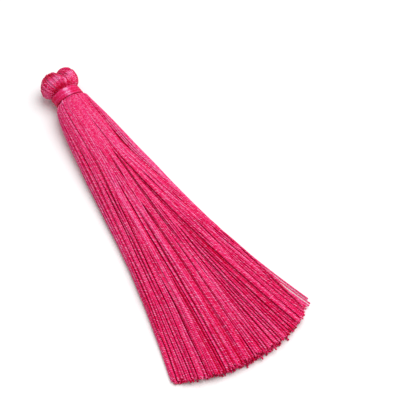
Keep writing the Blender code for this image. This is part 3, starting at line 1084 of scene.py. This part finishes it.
def headForm():
    values = formValues
    sides = values["sides"]
    turns = np.linspace(0.0, math.tau, sides, endpoint=False)
    mesh = bmesh.new()
    rings = []
    for share in np.linspace(0.0, 1.0, values["rings"]):
        points = onHead(turns, np.full(sides, share), values["inset"])
        rings.append([mesh.verts.new(point) for point in points])
    for low, high in zip(rings, rings[1:]):
        for index in range(sides):
            after = (index + 1) % sides
            mesh.faces.new((low[index], low[after], high[after], high[index]))
    mesh.faces.new(rings[0])
    mesh.faces.new(rings[-1])
    bmesh.ops.recalc_face_normals(mesh, faces=mesh.faces)
    data = bpy.data.meshes.new("headForm")
    mesh.to_mesh(data)
    mesh.free()
    data.shade_smooth()
    for key, value in (("tint", values["tint"]), ("along", 0.0), ("strand", 0.0)):
        data.attributes.new(key, "FLOAT", "POINT").data.foreach_set("value", [value] * len(data.vertices))
    data.materials.append(headMaterial)
    return addPiece("headForm", data)


headCore = headForm()
print("headForm made")

# Binding: one thread wound in fine turns over the neck, in layers of (depth under the outer one, first angle).
bandValues = {
    "seed": 3,
    "thread": 0.33,
    "pitch": 0.30,
    "length": 3.8,
    "layers": ((0.0, 0.0), (0.26, 0.4)),
    "stepsPerTurn": 56,
    "clearance": 0.02,
    # slow waves: size in mm and turns of the wave for each turn of the thread
    "slowWave": (0.03, 0.37),
    "fastWave": (0.02, 1.37),
    "depthWave": (0.02, 1.7),
    # painted highlight across the turns that face up, and painted shade at the sides
    "sheenAngle": 97.0,
    "sheenReach": 11.0,
    "sheen": 2.0,
    "sheenUneven": 0.35,
    "turnStep": 0.5,
    "turnTint": 0.35,
    "sideShade": 0.5,
    "shadedSideRun": (30.0, 70.0),
}


def bandLines(chance):
    values = bandValues
    length = values["length"] - values["thread"]
    turns = length / values["pitch"]
    steps = int(turns * values["stepsPerTurn"])
    marks = np.arange(0.0, turns + 2.0, values["turnStep"])
    slow, slowTurns = values["slowWave"]
    fast, fastTurns = values["fastWave"]
    deep, deepTurns = values["depthWave"]
    lines = []
    for inset, first in values["layers"]:
        angle = np.linspace(0.0, math.tau * turns, steps) + first
        y = np.linspace(-0.5, 0.5, steps) * length
        y = y + slow * np.sin(angle * slowTurns + first) + fast * np.sin(angle * fastTurns)
        under = values["thread"] / 2.0 + values["clearance"] + inset + deep * np.sin(angle * deepTurns)
        across = (bandHalfWidth - under) * np.cos(angle)
        height = axisHeight + (bandHalfHeight - under) * np.sin(angle)
        # painted highlight where the turns face up, each turn by its own amount, and painted shade towards the
        # sides
        away = degreesFrom(angle, values["sheenAngle"])
        turn = np.interp(angle / math.tau, marks, chance.normal(0.0, 1.0, len(marks)))
        sheen = values["sheen"] * np.exp(-(away / values["sheenReach"]) ** 2)
        sheen = sheen * (1.0 + values["sheenUneven"] * turn)
        tint = sheen + values["turnTint"] * turn - values["sideShade"] * smooth(np.abs(away), *values["shadedSideRun"])
        lines.append((toWorld(across, -y, height), angle * bandHalfWidth, tint))
    return lines


binding = makeThreads("bindingThread", bandLines(np.random.default_rng(bandValues["seed"])), bandMaterial,
                      bandValues["thread"])
print("pieces made")

for piece, slot in ((skirtSkin, "rayon_thread"), (skirtCore, "rayon_thread"), (head, "rayon_thread"),
                    (headCore, "rayon_thread"), (binding, "binding_thread")):
    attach(piece, "root")
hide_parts("thread_hank")
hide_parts("neck_binding")

# Stage: a pale floor, even white light all round and one large soft lamp above. Its lengths are in metres, and the
# lens in millimetres.
stageValues = {
    "floor": "F4F4F4",
    "floorSize": 4.0,
    "floorRoughness": 0.9,
    "skyStrength": 0.50,
    "middle": (0.0, -0.055, 0.0),
    "lampEnergy": 2.45,
    "lampSize": 0.50,
    "lampPlace": (0.15, -0.05, 0.47),
    "cameraPlace": (-0.0785, -0.20805, 0.2200),
    "cameraForward": (0.53315, 0.84602),
    "cameraPitch": 51.0,
    "lens": 83.8,
    "sensor": 36.0,
    "nearest": 0.005,
}


# Matt white paper: bright, with no gloss.
def mattPaper(values):
    paper = bpy.data.materials.new("mattWhitePaper")
    paper.use_nodes = True
    shader = paper.node_tree.nodes["Principled BSDF"]
    shader.inputs["Base Color"].default_value = linear(values["floor"])
    shader.inputs["Roughness"].default_value = values["floorRoughness"]
    return paper


def aimed(way):
    return way.to_track_quat("-Z", "Y").to_euler()


def buildStage():
    values = stageValues
    bpy.ops.mesh.primitive_plane_add(size=values["floorSize"], location=(0.0, 0.0, 0.0))
    floor = bpy.context.object
    floor.name = "floor"
    floor.data.materials.append(mattPaper(values))
    world = bpy.data.worlds.new("studio")
    bpy.context.scene.world = world
    world.use_nodes = True
    sky = world.node_tree.nodes["Background"].inputs
    sky["Color"].default_value = (1.0, 1.0, 1.0, 1.0)
    sky["Strength"].default_value = values["skyStrength"]
    bpy.context.scene.view_settings.view_transform = "Standard"

    base = skirtOrigin * mm
    middle = base + Vector(values["middle"])
    lamp = bpy.data.lights.new("softLamp", "AREA")
    lamp.shape = "DISK"
    lamp.size = values["lampSize"]
    lamp.energy = values["lampEnergy"]
    holder = addPiece("softLamp", lamp)
    holder.location = middle + Vector(values["lampPlace"])
    holder.rotation_euler = aimed(middle - holder.location)

    lens = bpy.data.cameras.new("camera")
    lens.sensor_width = values["sensor"]
    lens.lens = values["lens"]
    lens.clip_start = values["nearest"]
    camera = addPiece("camera", lens)
    camera.location = base + Vector(values["cameraPlace"])
    pitch = math.radians(values["cameraPitch"])
    forward = Vector((*values["cameraForward"], 0.0)).normalized()
    camera.rotation_euler = aimed(forward * math.cos(pitch) - Vector((0.0, 0.0, math.sin(pitch))))
    bpy.context.scene.camera = camera


buildStage()
print("stage built")
